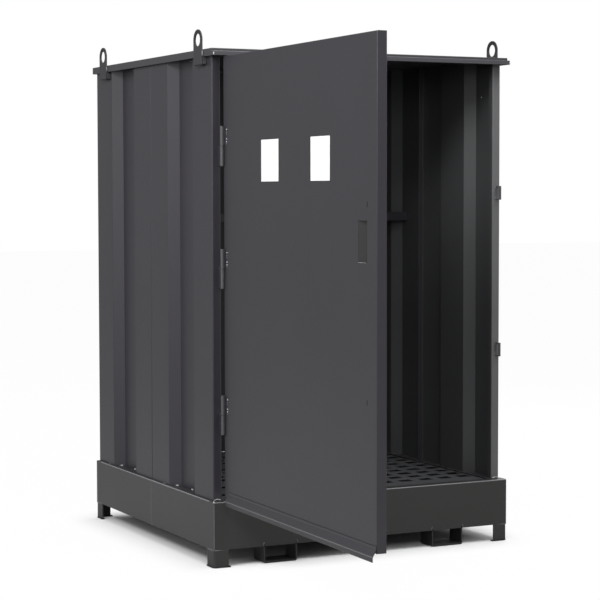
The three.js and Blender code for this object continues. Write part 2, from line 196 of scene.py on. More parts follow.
def powder_coat(name, colour, roughness=0.36, spread=0.07, peel=0.3):
    """Satin powder coat: cloudy tone, fine mottle, orange peel and the sheet's faint waves."""
    n = Nodes(name)
    clouds = n.noise(CLOUDS, 3.0, 0.55)
    mottle = n.noise(MOTTLE, 4.0, 0.65)
    base = linear(*colour)
    darker, lighter, spots = ([c * shade for c in base]
                              for shade in (1 - spread, 1 + spread, MOTTLE_SHADE))
    tone = n.mixed(n.ranged(clouds, 0.0, 1.0, 0.3, 0.7), darker, lighter)
    tint = n.mixed(n.ranged(mottle, 0.0, 0.5, 0.35, 0.75), tone, spots)
    n.link(tint, n.shader.inputs["Base Color"])
    n.link(n.ranged(mottle, roughness - 0.05, roughness + 0.07), n.shader.inputs["Roughness"])
    waves = n.bump(n.noise(WAVES, 1.0), WAVE_HEIGHT, 0.35)
    peeled = n.bump(n.noise(PEEL, 2.0), PEEL_HEIGHT, peel, waves)
    n.link(peeled, n.shader.inputs["Normal"])
    return n.material


def grained(name, dark, light, scale, roughness, relief, metallic=0.0, stretch=None):
    """Finish with a fine grain between two tones and between two roughnesses."""
    n = Nodes(name)
    grain = n.noise(scale, 3.0, 0.6, stretch)
    tone = n.mixed(n.ranged(grain, 0.0, 1.0, 0.3, 0.7), linear(*dark), linear(*light))
    n.link(tone, n.shader.inputs["Base Color"])
    n.link(n.ranged(grain, *roughness), n.shader.inputs["Roughness"])
    n.link(n.bump(grain, relief, 0.2), n.shader.inputs["Normal"])
    n.shader.inputs["Metallic"].default_value = metallic
    return n.material


finishes = {
    "body_paint": powder_coat("body_coat", (46, 44, 50)),
    "door_paint": powder_coat("door_coat", (44, 42, 47)),
    "base_paint": powder_coat("base_coat", (48, 46, 49)),
    "grate_paint": powder_coat("grate_coat", (70, 71, 73), roughness=0.42),
    "hardware_paint": powder_coat("hardware_coat", (74, 74, 77), roughness=0.38, peel=0.45),
    "bolt_steel": grained("bolt_zinc", (150, 152, 156), (196, 198, 200), 160.0, (0.26, 0.42),
                          0.0001, metallic=1.0, stretch=(1.0, 1.0, 0.12)),
    "placard_white": grained("placard_vinyl", (240, 240, 238), (247, 247, 246), 240.0,
                             (0.42, 0.55), 0.00008),
}
# Painted light: a lighter copy of the body coat, for the faces inside the cabinet and the eye
# cheeks
painted_light_coat = powder_coat("painted_light_coat", (66, 67, 68))
# Painted highlight: a lighter coat for the locking post's front face and the skirt's lower bend
painted_highlight_coat = powder_coat("painted_highlight_coat", (90, 90, 91), roughness=0.4)
# Painted shade: a darker copy of the base coat, for the base's front and back panels and the feet
base_painted_shade = powder_coat("base_painted_shade_coat", (44, 44, 43), roughness=0.42)
pocket_coat = powder_coat("pocket_coat", (42, 41, 42), roughness=0.4, peel=0.45)
roof_coat = powder_coat("roof_coat", (54, 53, 57))
eye_coat = powder_coat("eye_coat", (44, 44, 47), roughness=0.4, peel=0.45)
# Dark coat: painted shade in the pocket slots, the grip, behind the keyholes and under the eye
# plates; also the eye tops and feet soles
dark_coat = powder_coat("dark_coat", (22, 22, 24), roughness=0.45, peel=0.45)
# Painted highlight: a lighter roof coat for the front fascia; painted shade: a darker, rougher
# one for the top
fascia_painted_highlight = powder_coat("fascia_painted_highlight", (64, 63, 67))
top_painted_shade = powder_coat("roof_top_painted_shade", (50, 49, 53), roughness=0.7)
# Weld beads: a coat much lighter than the body's, partly a painted sheen on the beads
weld_painted_sheen = powder_coat("weld_painted_sheen", (112, 112, 115), roughness=0.26, spread=0.12, peel=0.5)
# Painted highlight: a lighter coat for the bends along the base's rim
rim_painted_highlight = powder_coat("rim_painted_highlight", (118, 118, 121), roughness=0.3, peel=0.5)
# Painted glint: a near-white coat for weld tacks and beads that catch the light
tack_painted_glint = powder_coat("tack_painted_glint", (178, 178, 180), roughness=0.24, spread=0.1, peel=0.5)

# ---------------------------------------------------------------- making pieces
FOLD_RADIUS = 2.2
RIM_RADIUS = 0.9
THIN_FACE = 5.0
SHARP = math.radians(28)
SMOOTH = math.radians(50)
FOLD_SEGMENTS = 3
MERGE = 0.02
FLAT = math.radians(1.0)
QUAD_FLAT, QUAD_SHAPE = math.radians(0.5), math.radians(60)


def face_reach(face, edge):
    """How far a face runs from one of its edges."""
    a = edge.verts[0].co
    along = (edge.verts[1].co - a).normalized()
    reach = 0.0
    for vert in face.verts:
        d = vert.co - a
        reach = max(reach, (d - along * d.dot(along)).length)
    return reach


def apply_modifiers(piece):
    """Puts the result of a piece's modifiers in its mesh."""
    view = bpy.context.evaluated_depsgraph_get()
    mesh = bpy.data.meshes.new_from_object(piece.evaluated_get(view))
    old = piece.data
    piece.modifiers.clear()
    piece.data = mesh
    bpy.data.meshes.remove(old)


def smooth(piece):
    """Smooth shading that keeps flat faces flat."""
    mesh = piece.data
    mesh.polygons.foreach_set("use_smooth", [True] * len(mesh.polygons))
    mesh.set_sharp_from_angle(angle=SMOOTH)
    weighted = piece.modifiers.new("flat", "WEIGHTED_NORMAL")
    weighted.keep_sharp = True
    apply_modifiers(piece)


def split_faces(bm):
    """Joins the flat triangles into quads and small faces, which a bevel handles well."""
    bmesh.ops.remove_doubles(bm, verts=bm.verts, dist=MERGE * MM)
    bmesh.ops.dissolve_limit(bm, angle_limit=FLAT, verts=bm.verts, edges=bm.edges)
    large = [face for face in bm.faces if len(face.verts) > 4]
    bmesh.ops.triangulate(bm, faces=large)
    bmesh.ops.join_triangles(bm, faces=bm.faces, angle_face_threshold=QUAD_FLAT,
                             angle_shape_threshold=QUAD_SHAPE)


def round_edges(piece, fold, rim, shortest):
    """Rounds a piece's folds by one radius and its thin cut edges by a smaller one.

    Edges under the shortest length stay as they are.
    """
    bm = bmesh.new()
    bm.from_mesh(piece.data)
    split_faces(bm)
    weights = bm.edges.layers.float.new("bevel_weight_edge")
    for edge in bm.edges:
        if len(edge.link_faces) != 2 or edge.calc_face_angle(0.0) < SHARP:
            continue
        if edge.calc_length() < shortest * MM:
            continue
        thin = min(face_reach(face, edge) for face in edge.link_faces) < THIN_FACE * MM
        edge[weights] = rim / fold if thin else 1.0
    bm.to_mesh(piece.data)
    bm.free()
    bevel = piece.modifiers.new("round", "BEVEL")
    bevel.limit_method = "WEIGHT"
    bevel.width = fold * MM
    bevel.segments = FOLD_SEGMENTS
    bevel.use_clamp_overlap = True
    bevel.miter_outer = "MITER_ARC"
    apply_modifiers(piece)
    smooth(piece)


def finish(piece, body, slot, material=None):
    """Gives a piece its material, the slot's own unless another is given, and ties it to its
    body.
    """
    piece.data.materials.clear()
    piece.data.materials.append(material or finishes[slot])
    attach(piece, body)
    return piece


def new_piece(name, bm):
    """Object with a finished bmesh."""
    bmesh.ops.recalc_face_normals(bm, faces=bm.faces)
    mesh = bpy.data.meshes.new(name)
    bm.to_mesh(mesh)
    bm.free()
    piece = bpy.data.objects.new(name, mesh)
    bpy.context.scene.collection.objects.link(piece)
    return piece


def stands_for(piece, node, slot, material=None):
    """Finishes a piece that takes a CAD node's place."""
    piece.name = node + "_look"
    finish(piece, nodes[node]["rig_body"], slot, material)
    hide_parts(node)
    return piece


def paint_where(piece, coat, chosen):
    """Gives another coat to the faces whose normal and centre are chosen."""
    index = len(piece.data.materials)
    piece.data.materials.append(coat)
    for face in piece.data.polygons:
        if chosen(face.normal, face.center):
            face.material_index = index


def dressed(node, slot, fold=FOLD_RADIUS, rim=RIM_RADIUS, shortest=0.0, material=None):
    """Stands a rounded copy of a CAD node in its place."""
    piece = bpy.data.objects.new(node + "_look", nodes[node].data.copy())
    bpy.context.scene.collection.objects.link(piece)
    round_edges(piece, fold, rim, shortest)
    return stands_for(piece, node, slot, material)


# ---------------------------------------------------------------- folded sheets
BEND_STEPS = 5
CUT_EDGE = 0.6


def folded_section(path, thickness, bend):
    """Pairs of points across a sheet that follows a path: on the path and on its left."""
    corners = [Vector(point) for point in path]
    last = len(corners) - 1
    pairs = []
    for i, corner in enumerate(corners):
        into = (corner - corners[i - 1]).normalized() if i else None
        out = (corners[i + 1] - corner).normalized() if i < last else None
        if into is None or out is None:
            ahead = out or into
            left = Vector((-ahead.y, ahead.x))
            back = ahead if i == 0 else -ahead
            ends = [(corner + left * CUT_EDGE, corner + left * (thickness - CUT_EDGE)),
                    (corner + back * CUT_EDGE, corner + left * thickness + back * CUT_EDGE)]
            pairs += ends if i == 0 else ends[::-1]
            continue
        before, after = Vector((-into.y, into.x)), Vector((-out.y, out.x))
        turned = math.atan2(into.x * out.y - into.y * out.x, into.dot(out))
        side = math.copysign(1.0, turned)
        near, far = (bend + thickness, bend) if side > 0 else (bend, bend + thickness)
        middle = (before + after).normalized()
        centre = corner + middle * (side * near / middle.dot(before))
        for k in range(BEND_STEPS + 1):
            angle = turned * k / BEND_STEPS
            c, s = math.cos(angle), math.sin(angle)
            ray = Vector((c * before.x - s * before.y, s * before.x + c * before.y)) * -side
            pairs.append((centre + ray * near, centre + ray * far))
    return pairs


def folded_sheet(name, path, place, start, end, thickness=SHEET, bend=2.5):
    """Sheet folded along a path, with round bends and broken cut edges."""
    pairs = folded_section(path, thickness, bend)
    bm = bmesh.new()
    places = [(start, CUT_EDGE), (start + CUT_EDGE, 0.0), (end - CUT_EDGE, 0.0), (end, CUT_EDGE)]
    rings = []
    for along, cut in places:
        nears, fars = [], []
        for near, far in pairs:
            across = (far - near).normalized() * cut * 0.5
            nears.append(near + across)
            fars.append(far - across)
        rings.append([bm.verts.new(place(p.x, p.y, along)) for p in nears + fars[::-1]])
    count = len(rings[0])
    for low, high in zip(rings, rings[1:]):
        for k in range(count):
            bm.faces.new((low[k], low[(k + 1) % count], high[(k + 1) % count], high[k]))
    for ring in (rings[0], rings[-1]):
        for k in range(len(pairs) - 1):
            bm.faces.new((ring[k], ring[k + 1], ring[count - 2 - k], ring[count - 1 - k]))
    piece = new_piece(name, bm)
    smooth(piece)
    return piece


def joined(first, second):
    """One piece of two."""
    bm = bmesh.new()
    bm.from_mesh(first.data)
    bm.from_mesh(second.data)
    bm.to_mesh(first.data)
    bm.free()
    bpy.data.objects.remove(second)
    smooth(first)
    return first


def mirror_x(place):
    """The same place on the cabinet's other side."""
    shift = Vector((2 * spot(WIDTH / 2, 0, 0).x, 0, 0))
    return lambda a, b, t: place(a, b, t) * Vector((-1, 1, 1)) + shift


def mirror_y(place, middle):
    """The same place behind a plane across the cabinet."""
    shift = Vector((0, 2 * spot(0, middle, 0).y, 0))
    return lambda a, b, t: place(a, b, t) * Vector((1, -1, 1)) + shift


def along_depth(a, b, t):
    """Place on a section that runs from front to back: a across, b up."""
    return spot(a, t, b)


def along_width(a, b, t):
    """Place on a section that runs from left to right: a inwards, b up."""
    return spot(t, a, b)


def at_corner(place, end, side):
    """A place at the front left corner, moved to the one that is named."""
    if end == "rear":
        place = mirror_y(place, DEPTH / 2)
    return place if side == "left" else mirror_x(place)


# ---------------------------------------------------------------- welds
BEAD_SIDES = 8
BEAD_STEP = 3.2
BEAD_TAPER, BEAD_VALLEY = 0.45, 0.82


def bead(name, points, radius, body, slot="body_paint", material=None):
    """Weld bead along a line of points, its surface in overlapping ripples."""
    bm = bmesh.new()
    rings = []
    path = []
    for a, b in zip(points, points[1:]):
        steps = max(1, round((b - a).length / (BEAD_STEP * MM)))
        path += [a.lerp(b, i / steps) for i in range(steps)]
    path.append(points[-1])
    last = len(path) - 1
    for i, centre in enumerate(path):
        ahead = (path[min(i + 1, last)] - path[max(i - 1, 0)]).normalized()
        side = ahead.orthogonal().normalized()
        up = ahead.cross(side)
        taper = BEAD_TAPER if i in (0, last) else 1.0
        r = radius * MM * taper * (1.0 if i % 2 else BEAD_VALLEY)
        rings.append([bm.verts.new(centre + side * (r * math.cos(t)) + up * (r * math.sin(t)))
                      for t in (2 * math.pi * k / BEAD_SIDES for k in range(BEAD_SIDES))])
    for low, high in zip(rings, rings[1:]):
        for k in range(BEAD_SIDES):
            bm.faces.new((low[k], low[(k + 1) % BEAD_SIDES], high[(k + 1) % BEAD_SIDES], high[k]))
    bm.faces.new(rings[0][::-1])
    bm.faces.new(rings[-1])
    piece = new_piece(name, bm)
    piece.data.polygons.foreach_set("use_smooth", [True] * len(piece.data.polygons))
    # Beads without another coat take the weld coat, partly a painted sheen
    return finish(piece, body, slot, material or weld_painted_sheen)


def both_sides(name, points, radius, slot="body_paint", material=None):
    """A bead on the cabinet's left and the same one on its right."""
    left = [spot(x, y, z) for x, y, z in points]
    right = [spot(WIDTH - x, y, z) for x, y, z in points]
    for side, line in zip(SIDES, (left, right)):
        bead(f"{name}_{side}", line, radius, "cabinet", slot, material)


def upright(x, y, low, high):
    """Two points, one above the other."""
    return (x, y, low), (x, y, high)


# ---------------------------------------------------------------- sump base
FOOT_WIDTH, FOOT_DEPTH = 65.0, 70.0
FOOT_PLATE, FOOT_BEND, FOOT_OVERLAP = 6.0, 3.0, 0.5
SOLE, SOLE_REACH, SOLE_TOE, SOLE_WIDTH = 5.0, 3.6, 8.0, 16.0
POCKET_HALF, POCKET_DEPTH, POCKET_LIFT, POCKET_WALL = 76.0, 98.0, 1.5, 6.0
POCKET_X, POCKET_BEND = 300.0, 2.0
BEARERS = 5
BEND_BAND = 8.0

# Welds of the base; the lines of points are at its front left corner
RIM_BEAD = ((2.4, 3.0, 268.6), (6.0, 17.0, 270.6), (20.0, 37.0, 272.5),
            (33.0, 38.2, 276.0), (41.0, 38.2, 273.5), (50.0, 38.2, 272.0))
RIM_TACK = ((1.4, 1.6, 266.5), (3.0, 7.0, 270.4))
RIM_INNER_TACK = ((31.0, 37.8, 275.0), (35.0, 37.8, 275.6))
FOOT_BEAD = ((FOOT_WIDTH, 3.0, CLEARANCE), (5.0, 0.5, CLEARANCE),
             (0.5, 5.0, CLEARANCE), (1.0, FOOT_DEPTH, CLEARANCE))
PANEL_SPAN = (CLEARANCE + 1, RIM - 7)
SEAM_BEAD, CORNER_BEAD = 0.3, 1.4
STITCH, STITCH_OUT, STITCH_IN, STITCH_LEAN = 17.0, 0.6, 2.0, 4.5
STITCH_KNEE = STITCH * 0.6


def paint_bend_highlight(panel):
    """Painted highlight: the bend at the rim gets a lighter coat, which shows as a light line."""
    low = (RIM - BEND_BAND) * MM
    paint_where(panel, rim_painted_highlight, lambda normal, at: 0.2 < normal.z < 0.98 and at.z > low)


def base_side(place, name):
    """Side panel of the base with its flange, which stops behind the front panel's."""
    path = ((SIDE_FLANGE, RIM), (0.0, RIM), (0.0, CLEARANCE))
    panel = folded_sheet(name, path, place, END_FLANGE + FIT, BASE_SEAM - FIT / 2)
    web = ((0.0, RIM - SHEET - FIT), (0.0, CLEARANCE))
    return joined(panel, folded_sheet("web", web, place, SHEET + FIT, END_FLANGE + FIT))


def foot(place):
    """Foot of thick folded plate, open on its inner side, on a sole that stands out a little."""
    path = ((0.0, FOOT_DEPTH), (0.0, 0.0), (FOOT_WIDTH, 0.0))
    leg = folded_sheet("foot", path, place, SOLE - FOOT_OVERLAP, CLEARANCE - FIT,
                       FOOT_PLATE, FOOT_BEND)
    around = ((-SOLE_REACH, FOOT_DEPTH), (-SOLE_REACH, -SOLE_REACH),
              (FOOT_WIDTH + SOLE_TOE, -SOLE_REACH))
    return joined(leg, folded_sheet("sole", around, place, 0.0, SOLE, SOLE_WIDTH, FOOT_BEND))


def pocket(place):
    """Fork pocket: a thick strap bent into a trough."""
    left, right = POCKET_X - POCKET_HALF, POCKET_X + POCKET_HALF
    top = CLEARANCE - FIT
    path = ((left, top), (left, POCKET_LIFT), (right, POCKET_LIFT), (right, top))
    return folded_sheet("pocket", path, place, 0.0, POCKET_DEPTH, POCKET_WALL, POCKET_BEND)


def base_welds():
    """Beads at the rim's corners, the side seams, the feet and the pockets."""
    # The rim's corner beads and tacks carry the painted glint
    both_sides("rim_corner_bead", RIM_BEAD, 2.0, "base_paint", tack_painted_glint)
    both_sides("rim_corner_tack", RIM_TACK, 3.6, "base_paint", tack_painted_glint)
    both_sides("rim_inner_tack", RIM_INNER_TACK, 3.2, "base_paint", tack_painted_glint)
    for name, x, y, radius in (("base_seam_bead", SEAM_BEAD, BASE_SEAM, 1.1),
                               ("base_corner_bead", CORNER_BEAD, CORNER_BEAD, 1.9),
                               ("base_rear_bead", CORNER_BEAD, DEPTH - CORNER_BEAD, 1.9)):
        both_sides(name, upright(x, y, *PANEL_SPAN), radius, "base_paint")
    both_sides("foot_bead_front", FOOT_BEAD, 1.9, "base_paint")
    both_sides("foot_bead_rear", [(x, DEPTH - y, z) for x, y, z in FOOT_BEAD], 1.9, "base_paint")
    knee, top = CLEARANCE + STITCH_KNEE, CLEARANCE + STITCH
    for end, y in (("front", -STITCH_OUT), ("rear", DEPTH + STITCH_OUT)):
        for edge, outward in (("inner", 1), ("outer", -1)):
            x = POCKET_X + outward * (POCKET_HALF - STITCH_IN)
            lean = x + outward * STITCH_LEAN
            line = (*upright(lean, y, CLEARANCE + 2, knee), (x, y, top))
            both_sides(f"pocket_bead_{end}_{edge}", line, 1.8, "hardware_paint")
            # Painted shadow: a dark bead where each leg meets the base's face
            slot_shadow = upright(x, y, CLEARANCE - 1, knee)
            both_sides(f"pocket_notch_{end}_{edge}", slot_shadow, 2.2, "hardware_paint", dark_coat)


def sump_base():
    """Panels, sump floor, fork pockets, feet, grate bearers and welds."""
    for side in SIDES:
        for end in ENDS:
            panel = base_side(at_corner(along_depth, end, side), f"{side}_{end}")
            paint_bend_highlight(stands_for(panel, f"base_{side}_{end}", "base_paint"))
    front = ((END_FLANGE, RIM), (0.0, RIM), (0.0, CLEARANCE))
    for end, place in (("front", along_width), ("back", mirror_y(along_width, DEPTH / 2))):
        panel = folded_sheet(end, front, place, 0.0, WIDTH)
        # The front and back panels take the painted shade coat
        paint_bend_highlight(stands_for(panel, "base_" + end, "base_paint", base_painted_shade))
    dressed("sump_floor", "base_paint")
    sole_top = (SOLE + FOOT_OVERLAP) * MM
    for end in ENDS:
        for side in SIDES:
            trough = pocket(at_corner(along_depth, end, side))
            stands_for(trough, f"fork_pocket_{end}_{side}", "hardware_paint", pocket_coat)
            leg = foot(at_corner(spot, end, side))
            # The feet take the painted shade coat
            stands_for(leg, f"foot_{end}_{side}", "base_paint", base_painted_shade)
            paint_where(leg, dark_coat, lambda normal, at: at.z < sole_top)
    for i in range(1, BEARERS + 1):
        dressed(f"grate_bearer_{i}", "base_paint")
    base_welds()


# ---------------------------------------------------------------- grate
GRATE_LEFT, GRATE_NEAR, GRATE_FAR = 69.0, 58.0, 1308.0
GRATE_SPLIT, GRATE_SLIT = 701.5, 2.0
GRATE_TOP, GRATE_UNDER = 266.0, 262.0
HOLE = 60.0
HOLE_BREAK = 0.8
HOLE_COLUMNS, COLUMN_PITCH = 13, 98.8146
HOLE_ROWS, FIRST_ROW, ROW_PITCH = 12, 190.0, 93.0


def grate_half(node, near, far, rows):
    """Half of the grate: a plate with square holes, every edge broken."""
    xs = [GRATE_LEFT]
    for column in range(HOLE_COLUMNS):
        x = WIDTH / 2 + (column - (HOLE_COLUMNS - 1) / 2) * COLUMN_PITCH
        xs += [x - HOLE / 2, x + HOLE / 2]
    xs.append(WIDTH - GRATE_LEFT)
    ys = [near]
    for row in rows:
        y = FIRST_ROW + row * ROW_PITCH
        ys += [y - HOLE / 2, y + HOLE / 2]
    ys.append(far)
    bm = bmesh.new()
    grid = [[bm.verts.new(spot(x, y, GRATE_UNDER)) for x in xs] for y in ys]
    faces = []
    for j in range(len(ys) - 1):
        for i in range(len(xs) - 1):
            if i % 2 and j % 2:
                continue
            near_row, far_row = grid[j], grid[j + 1]
            corners = (near_row[i], near_row[i + 1], far_row[i + 1], far_row[i])
            faces.append(bm.faces.new(corners))
    lifted = bmesh.ops.extrude_face_region(bm, geom=faces)["geom"]
    risen = [item for item in lifted if isinstance(item, bmesh.types.BMVert)]
    bmesh.ops.translate(bm, verts=risen, vec=(0, 0, (GRATE_TOP - GRATE_UNDER) * MM))
    piece = new_piece(node, bm)
    bevel = piece.modifiers.new("round", "BEVEL")
    bevel.limit_method = "ANGLE"
    bevel.width = HOLE_BREAK * MM
    bevel.segments = 2
    apply_modifiers(piece)
    smooth(piece)
    return stands_for(piece, node, "grate_paint")


def grates():
    """Both halves of the grate, with a slit between them."""
    half = HOLE_ROWS // 2
    grate_half("grate_front", GRATE_NEAR, GRATE_SPLIT - GRATE_SLIT / 2, range(half))
    grate_half("grate_rear", GRATE_SPLIT + GRATE_SLIT / 2, GRATE_FAR, range(half, HOLE_ROWS))


# ---------------------------------------------------------------- walls
def ribbed(length, starts, ends):
    """Path of a panel with one trapezoid rib in its middle."""
    near = (length - RIB_OPENING) / 2
    far = near + RIB_OPENING
    return [*starts, (0.0, 0.0), (near, 0.0), (near + RIB_DEPTH, RIB_DEPTH),
            (far - RIB_DEPTH, RIB_DEPTH), (far, 0.0), (length, 0.0), *ends]


def wall_panels():
    """Side and back walls; the rear side panels mirror the front ones about the seam."""
    length = WALL_SEAM - FIT / 2 - POST_FRONT
    post = [(POST_LIP, POST_WIDTH), (0.0, POST_WIDTH)]
    path = ribbed(length, post, [(length, SEAM_FLANGE)])
    side = [(WALL_INSET + v, POST_FRONT + u) for u, v in path][::-1]
    for half in ENDS:
        place = spot if half == "front" else mirror_y(spot, WALL_SEAM)
        for hand, turned in zip(SIDES, (place, mirror_x(place))):
            panel = folded_sheet(hand, side, turned, RIM + FIT, WALL_HEAD)
            stands_for(panel, f"wall_{hand}_{half}", "body_paint")
            paint_inside_light(panel, 1.0 if hand == "left" else -1.0)
            if (hand, half) == ("right", "front"):
                paint_post_highlight(panel)
    start = WALL_INSET + POST_WIDTH + FIT
    length = WIDTH / 2 - FIT / 2 - start
    path = ribbed(length, [(0.0, SEAM_FLANGE)], [(length, SEAM_FLANGE)])
    back = [(start + u, DEPTH - v) for u, v in path][::-1]
    for hand, place in zip(SIDES, (spot, mirror_x(spot))):
        panel = folded_sheet(hand, back, place, RIM + FIT, WALL_HEAD)
        stands_for(panel, "wall_back_" + hand, "body_paint")


def paint_inside_light(panel, inward):
    """Painted light: a lighter coat on the faces that look into the cabinet."""
    paint_where(panel, painted_light_coat, lambda normal, at: normal.x * inward > 0.3)


def paint_post_highlight(panel):
    """Painted highlight: a lighter, slightly rougher coat on the locking post's front face."""
    front = spot(0, POST_FRONT + 1.0, 0).y
    paint_where(panel, painted_highlight_coat, lambda normal, at: normal.y < -0.6 and at.y < front)


# Welds at a front rib: name, first and last point, radius, and whether it has the painted glint
RIB_WELDS = (("rib_stitch_{}_1", (46.0, 478.0, 271.0), (36.0, 494.0, 271.2), 3.4, True),
             ("rib_stitch_{}_2", (53.5, 338.0, 271.0), (53.5, 358.0, 271.0), 2.8, True),
             ("rib_stitch_{}_3", (14.0, 556.0, 270.8), (14.0, 580.0, 270.8), 1.7, False),
             ("rib_tack_{}", (54.5, 330.0, 2074.0), (54.5, 350.0, 2074.0), 2.4, False))
RIB_SHIFT = WALL_SEAM - POST_FRONT
POST_GLINT = (18.6, 187.0, 1940.0, 1948.0)


def wall_welds():
    """Stitches at the feet of the ribs and under the roof, some with a painted glint, and a
    painted glint on the post.
    """
    for rib, shift in zip(ENDS, (0.0, RIB_SHIFT)):
        for name, first, last, radius, bright in RIB_WELDS:
            line = [(x, y + shift, z) for x, y, z in (first, last)]
            both_sides(name.format(rib), line, radius, material=tack_painted_glint if bright else None)
    both_sides("post_glint", upright(*POST_GLINT), 2.2, material=tack_painted_glint)


def walls():
    """Wall panels, the rail between them and their welds."""
    wall_panels()
    dressed("cross_rail", "body_paint", fold=3.0)
    wall_welds()


# ---------------------------------------------------------------- roof
BEARER_HALF, BEARER_DEPTH = 20.0, 18.0
EYE_PLACES = (135.0, 1231.0)
EYE_HALF = 42.5
EYE_DARK = 2128.0
EYE_TAIL = 30.0
EYE_BEAD = (FASCIA_FOOT + 3, FASCIA_FOOT + 25)
EYE_FOOT = FASCIA_FOOT - 33
FASCIA_BEAD = ((1.2, ROOF_FRONT + 1.2, FASCIA_FOOT + 1.0),
               (1.0, ROOF_FRONT + 1.0, FASCIA_FOOT + 12.0))


def roof_bearer(end, y):
    """Channel under the roof, between two lifting eyes."""
    low = WALL_HEAD - BEARER_DEPTH
    section = ((-BEARER_HALF, WALL_HEAD), (-BEARER_HALF, low),
               (BEARER_HALF, low), (BEARER_HALF, WALL_HEAD))
    inside = WALL_INSET + SHEET + FIT
    bearer = folded_sheet("bearer", section, lambda a, b, t: spot(t, y + a, b),
                          inside, WIDTH - inside)
    stands_for(bearer, "roof_bearer_" + end, "body_paint")


def lifting_eyes(end, y):
    """Two eyes with their welds, and the cheeks between their tails and the walls."""
    for side in SIDES:
        eye = dressed(f"lifting_eye_{end}_{side}", "hardware_paint", fold=1.1, material=eye_coat)
        paint_where(eye, dark_coat, lambda normal, at: at.z > EYE_DARK * MM)
    for hand, edge in (("near", y - EYE_HALF), ("far", y + EYE_HALF)):
        line = upright(-2.4, edge, *EYE_BEAD)
        both_sides(f"eye_bead_{end}_{hand}", line, 2.8, "hardware_paint")
        path = ((FIT, edge), (WALL_INSET - FIT, edge))
        for side, place in zip(SIDES, (spot, mirror_x(spot))):
            cheek = folded_sheet(f"eye_cheek_{end}_{hand}_{side}", path, place,
                                 FASCIA_FOOT - EYE_TAIL, FASCIA_FOOT - FIT)
            # The cheeks take the painted light coat
            finish(cheek, "cabinet", "hardware_paint", painted_light_coat)
    # Painted shadow: a dark bead under the foot of each eye plate
    shadow_line = ((-1.5, y - EYE_HALF + 3, EYE_FOOT), (-1.5, y + EYE_HALF - 3, EYE_FOOT))
    both_sides(f"eye_foot_bead_{end}", shadow_line, 2.2, "hardware_paint", dark_coat)


def roof():
    """Tray with painted highlight on the front fascia, painted shade on the top, its bearers and
    lifting eyes.
    """
    tray = dressed("roof", "body_paint", fold=2.4, material=roof_coat)
    front = spot(0, 0, 0).y
    # Painted highlight on the front fascia and painted shade on the top
    paint_where(tray, fascia_painted_highlight, lambda normal, at: normal.y < -0.6 and at.y < front)
    paint_where(tray, top_painted_shade, lambda normal, at: normal.z > 0.9)
    for end, y in zip(ENDS, EYE_PLACES):
        roof_bearer(end, y)
        lifting_eyes(end, y)
    # The fascia's corner bead carries the painted glint
    both_sides("fascia_corner_bead", FASCIA_BEAD, 2.9, material=tack_painted_glint)


# ---------------------------------------------------------------- hinges and keepers
HINGE_LEVELS = (("bottom", 625.2), ("middle", 1218.9), ("top", 1712.8))
BARREL_HALF = 80.0
LEAF_FROM, LEAF_BEAD = 6.0, 45.0
KEEPER_X, KEEPER_HALF = 1367.0, 5.0
KEEPER_LEVELS = (("lower", 840.0), ("upper", 1523.0))
KEEPER_STITCHES = (("foot", -28.0), ("head", 14.0))
KEEPER_STITCH = 14.0


def frame_bead(name, x, out, low, high, radius):
    """Upright bead on the front of a door post, its line a little in front of the face."""
    line = [spot(*point) for point in upright(x, POST_FRONT - out, low, high)]
    bead(name, line, radius, "cabinet", "hardware_paint")


def frame_hardware():
    """Lock keepers and the frame halves of the hinges, with their welds."""
    for level, _ in KEEPER_LEVELS:
        dressed("lock_keeper_" + level, "hardware_paint", fold=1.0, rim=0.7)
    leaf = spot(0, LEAF_FROM, 0).y
    for level, z in HINGE_LEVELS:
        half = dressed("hinge_frame_" + level, "hardware_paint", fold=0.8, rim=0.6)
        paint_where(half, finishes["body_paint"], lambda normal, at: at.y > leaf)
        low, high = z - BARREL_HALF + 4, z - 5
        frame_bead("hinge_frame_bead_" + level, LEAF_BEAD, 1.2, low, high, 2.5)
        frame_bead("hinge_frame_tack_" + level, LEAF_BEAD, 1.6, high, high + 5, 3.0)
    for level, z in KEEPER_LEVELS:
        for side, x in (("inner", KEEPER_X - KEEPER_HALF), ("outer", KEEPER_X + KEEPER_HALF)):
            for end, rise in KEEPER_STITCHES:
                frame_bead(f"keeper_bead_{level}_{side}_{end}", x, 1.0, z + rise,
                           z + rise + KEEPER_STITCH, 1.8)


# ---------------------------------------------------------------- door
SKIRT_PATH = ((3.7, 316.0), (3.7, 306.0), (-11.0, 280.0), (-11.0, 262.0))
SKIRT_START, DOOR_EDGE = 43.0, 1340.7
SKIRT_BEND = 5.0
SKIN_SHORTEST = 400.0
GRIP_SPAN, GRIP_HIGHLIGHT_RISE = (1204.0, 1262.0), 3.0
LEAF_REACH = 9.0

# Weld tacks on a door hinge: height over its middle, radius, and whether it has the painted glint
DOOR_TACKS = ((66.0, 3.2, True), (54.0, 2.2, False), (47.0, 1.8, False),
              (28.0, 2.8, True), (17.0, 2.6, True), (8.0, 2.0, False))
TACK_X, TACK_Y, TACK_HALF = 36.0, 5.6, 3


def door_skirt():
    """Drip skirt, with a painted highlight on its lower bend."""
    skirt = folded_sheet("skirt", SKIRT_PATH, lambda a, b, t: door_spot(t, a, b),
                         SKIRT_START, DOOR_EDGE, bend=SKIRT_BEND)
    stands_for(skirt, "door_skirt", "door_paint")
    bend, band = SKIRT_PATH[2][1] * MM, SKIRT_BEND * MM
    # Painted highlight along the skirt's lower bend
    paint_where(skirt, painted_highlight_coat, lambda normal, at: normal.x < -0.5 and abs(at.z - bend) < band)


